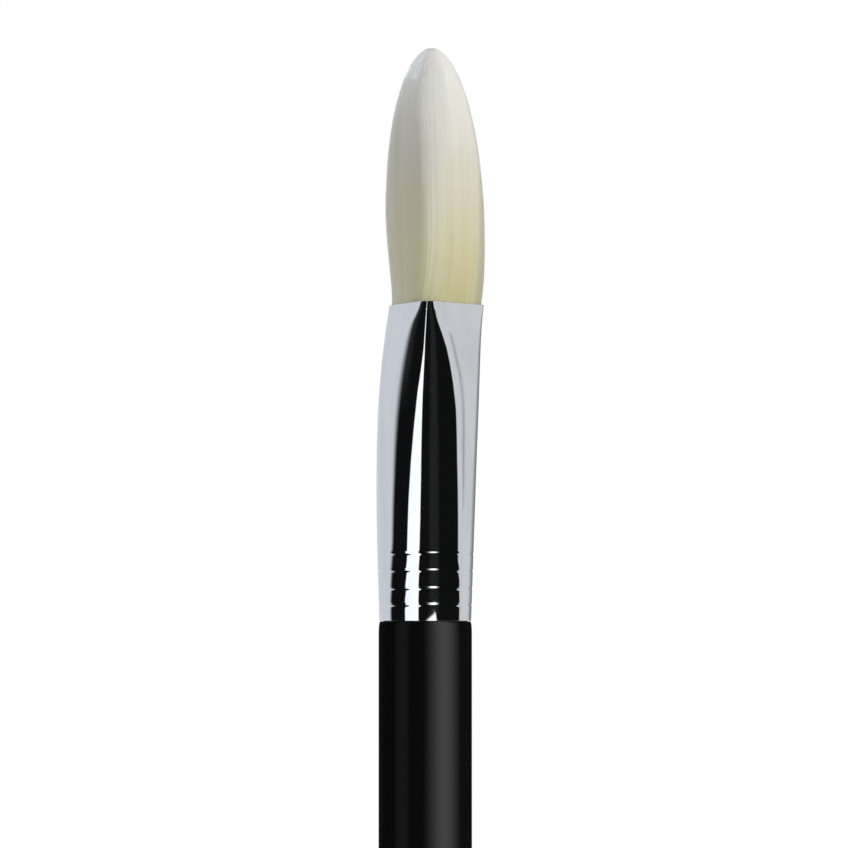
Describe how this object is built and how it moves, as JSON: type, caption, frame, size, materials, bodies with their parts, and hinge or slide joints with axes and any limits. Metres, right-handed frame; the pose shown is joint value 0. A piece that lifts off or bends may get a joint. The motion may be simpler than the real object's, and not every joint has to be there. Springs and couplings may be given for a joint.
{
  "type": "concealer brush",
  "caption": "Slim concealer brush: a pointed three-sided tuft of soft filaments in a polished ferrule that runs from round to triangular, on a tapered lacquered wooden handle.",
  "frame": {"origin": "centre of the small flat at the handle's butt", "axes": "+Z from the butt along the handle to the tip of the tuft, -Y towards the front edge of the three-sided ferrule mouth, +X to the right as seen from the front"},
  "size_m": [0.0108, 0.0108, 0.1803],
  "materials": {
    "black_lacquer": "gloss black lacquer over turned wood",
    "polished_nickel": "polished nickel plate on drawn brass tube",
    "filament": "fine tapered synthetic filaments, ivory with paler tips",
    "cast_resin": "cast epoxy, amber",
    "binding_thread": "twisted thread, undyed",
    "set_glue": "set adhesive, pale yellow"
  },
  "bodies": {
    "root": {"handle": "black_lacquer", "ferrule": "polished_nickel", "filament_tuft": "filament", "root_plug": "cast_resin", "root_binding": "binding_thread", "tenon_glue": "set_glue"}
  },
  "joints": []
}
